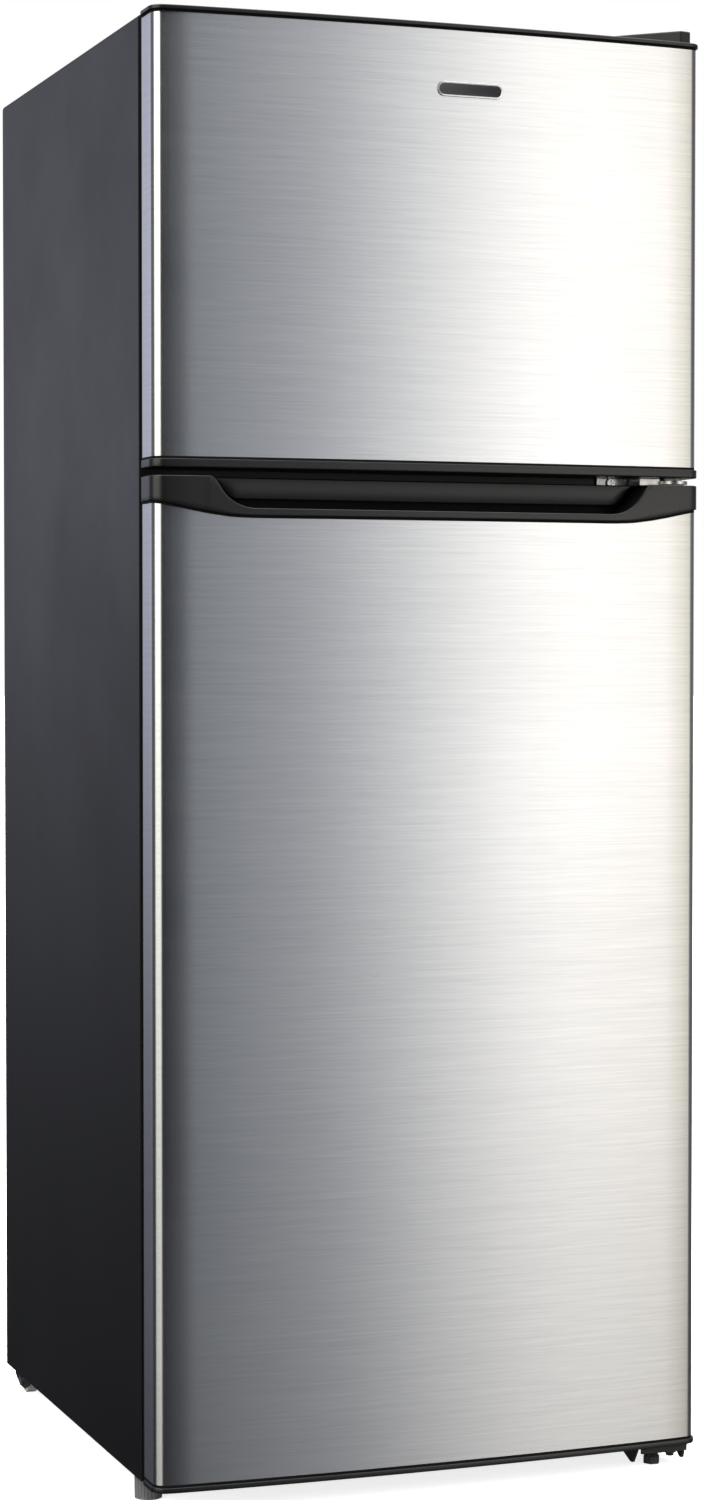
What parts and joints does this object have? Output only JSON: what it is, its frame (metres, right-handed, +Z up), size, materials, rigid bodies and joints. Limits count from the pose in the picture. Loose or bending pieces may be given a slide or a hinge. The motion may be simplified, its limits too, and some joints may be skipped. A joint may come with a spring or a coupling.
{
  "type": "top freezer refrigerator",
  "caption": "Free-standing compact refrigerator with a freezer above, bowed steel doors hinged on the right and a handle recessed in the lower door's top cap.",
  "frame": {"origin": "on the floor, at the centre of the footprint", "axes": "+Z up, the doors face -Y and hinge on the +X side"},
  "size_m": [0.549, 0.579, 1.385],
  "materials": {
    "cabinet_paint": "satin",
    "door_steel": "satin",
    "charcoal_plastic": "satin",
    "white_liner": "satin",
    "clear_plastic": "gloss",
    "shelf_glass": "gloss",
    "foam": "matte",
    "zinc_steel": "satin",
    "galvanised_steel": "satin",
    "black_steel": "satin",
    "screw_steel": "satin",
    "gasket_rubber": "matte",
    "black_rubber": "matte",
    "foot_plastic": "satin",
    "nylon": "satin",
    "copper": "satin",
    "tube_steel": "gloss",
    "evaporator_aluminium": "satin",
    "lamp_glass": "gloss",
    "white_wire": "gloss",
    "emblem_metal": "satin"
  },
  "bodies": {
    "cabinet": {"outer_shell": "cabinet_paint", "back_panel": "galvanised_steel", "bay_bulkhead": "galvanised_steel", "base_pan": "galvanised_steel", "mullion_rail": "cabinet_paint", "freezer_liner": "white_liner", "fridge_liner": "white_liner", "evaporator": "evaporator_aluminium", "condenser_coil": "copper", "cabinet_foam": "foam", "top_hinge": "zinc_steel", "middle_hinge": "zinc_steel", "bottom_hinge": "black_steel", "fixing_screws": "screw_steel", "top_hinge_cover": "charcoal_plastic", "hinge_washers": "nylon", "compressor": "tube_steel", "compressor_grommets": "black_rubber", "compressor_rail": "galvanised_steel", "terminal_cover": "charcoal_plastic", "cord_gland": "black_rubber", "filter_drier": "copper", "refrigerant_tubes": "copper", "drip_pan": "charcoal_plastic", "roller_brackets": "black_steel", "roller_axles": "zinc_steel", "thermostat_housing": "white_liner", "thermostat": "nylon", "lamp": "lamp_glass", "lamp_cover": "clear_plastic", "light_switch_body": "white_liner", "freezer_shelf": "white_wire", "fridge_shelves": "shelf_glass", "crisper_cover": "shelf_glass", "shelf_trims": "white_liner"},
    "freezer_door": {"freezer_door_skin": "door_steel", "freezer_door_top_cap": "charcoal_plastic", "freezer_door_bottom_cap": "charcoal_plastic", "freezer_door_liner": "white_liner", "freezer_door_foam": "foam", "freezer_door_gasket": "gasket_rubber", "freezer_door_racks": "white_liner", "freezer_door_emblem": "emblem_metal", "freezer_door_bushes": "nylon"},
    "fridge_door": {"fridge_door_skin": "door_steel", "fridge_door_bottom_cap": "charcoal_plastic", "fridge_door_liner": "white_liner", "fridge_door_foam": "foam", "fridge_door_gasket": "gasket_rubber", "fridge_door_bins": "clear_plastic", "fridge_door_bushes": "nylon", "handle_cap": "charcoal_plastic", "bottle_bin": "clear_plastic"},
    "crisper_drawer": {"crisper_drawer": "clear_plastic"},
    "thermostat_knob": {"thermostat_knob": "white_liner"},
    "light_switch_plunger": {"light_switch_plunger": "nylon"},
    "left_foot": {"left_foot": "foot_plastic"},
    "right_foot": {"right_foot": "black_steel"},
    "left_roller": {"left_roller": "nylon"},
    "right_roller": {"right_roller": "nylon"}
  },
  "joints": [
    {"name": "freezer_door_hinge", "type": "hinge", "parent": "cabinet", "child": "freezer_door", "pos_m": [0.254, -0.26, 1.165], "axis": [0, 0, 1], "range_deg": [0, 120]},
    {"name": "fridge_door_hinge", "type": "hinge", "parent": "cabinet", "child": "fridge_door", "pos_m": [0.254, -0.26, 0.486], "axis": [0, 0, 1], "range_deg": [0, 120]},
    {"name": "crisper_slide", "type": "slide", "parent": "cabinet", "child": "crisper_drawer", "axis": [0, -1, 0], "range_m": [0, 0.022]},
    {"name": "thermostat_knob_turn", "type": "hinge", "parent": "cabinet", "child": "thermostat_knob", "pos_m": [0.038, -0.125, 0.902], "axis": [0, -1, 0], "range_deg": [-300, 0]},
    {"name": "light_switch_slide", "type": "slide", "parent": "cabinet", "child": "light_switch_plunger", "axis": [0, -1, 0], "range_m": [0, 0.008]},
    {"name": "left_foot_turn", "type": "hinge", "parent": "cabinet", "child": "left_foot", "pos_m": [-0.258, -0.203, 0.01], "axis": [0, 0, 1], "continuous": true},
    {"name": "right_foot_turn", "type": "hinge", "parent": "cabinet", "child": "right_foot", "pos_m": [0.238, -0.252, 0.01], "axis": [0, 0, 1], "continuous": true},
    {"name": "left_roller_spin", "type": "hinge", "parent": "cabinet", "child": "left_roller", "pos_m": [-0.258, 0.243, 0.013], "axis": [1, 0, 0], "continuous": true},
    {"name": "right_roller_spin", "type": "hinge", "parent": "cabinet", "child": "right_roller", "pos_m": [0.258, 0.243, 0.013], "axis": [1, 0, 0], "continuous": true}
  ],
  "couplings": [
    {"joint": "light_switch_slide", "follows": "fridge_door_hinge", "m_per_rad": 0.0038}
  ]
}
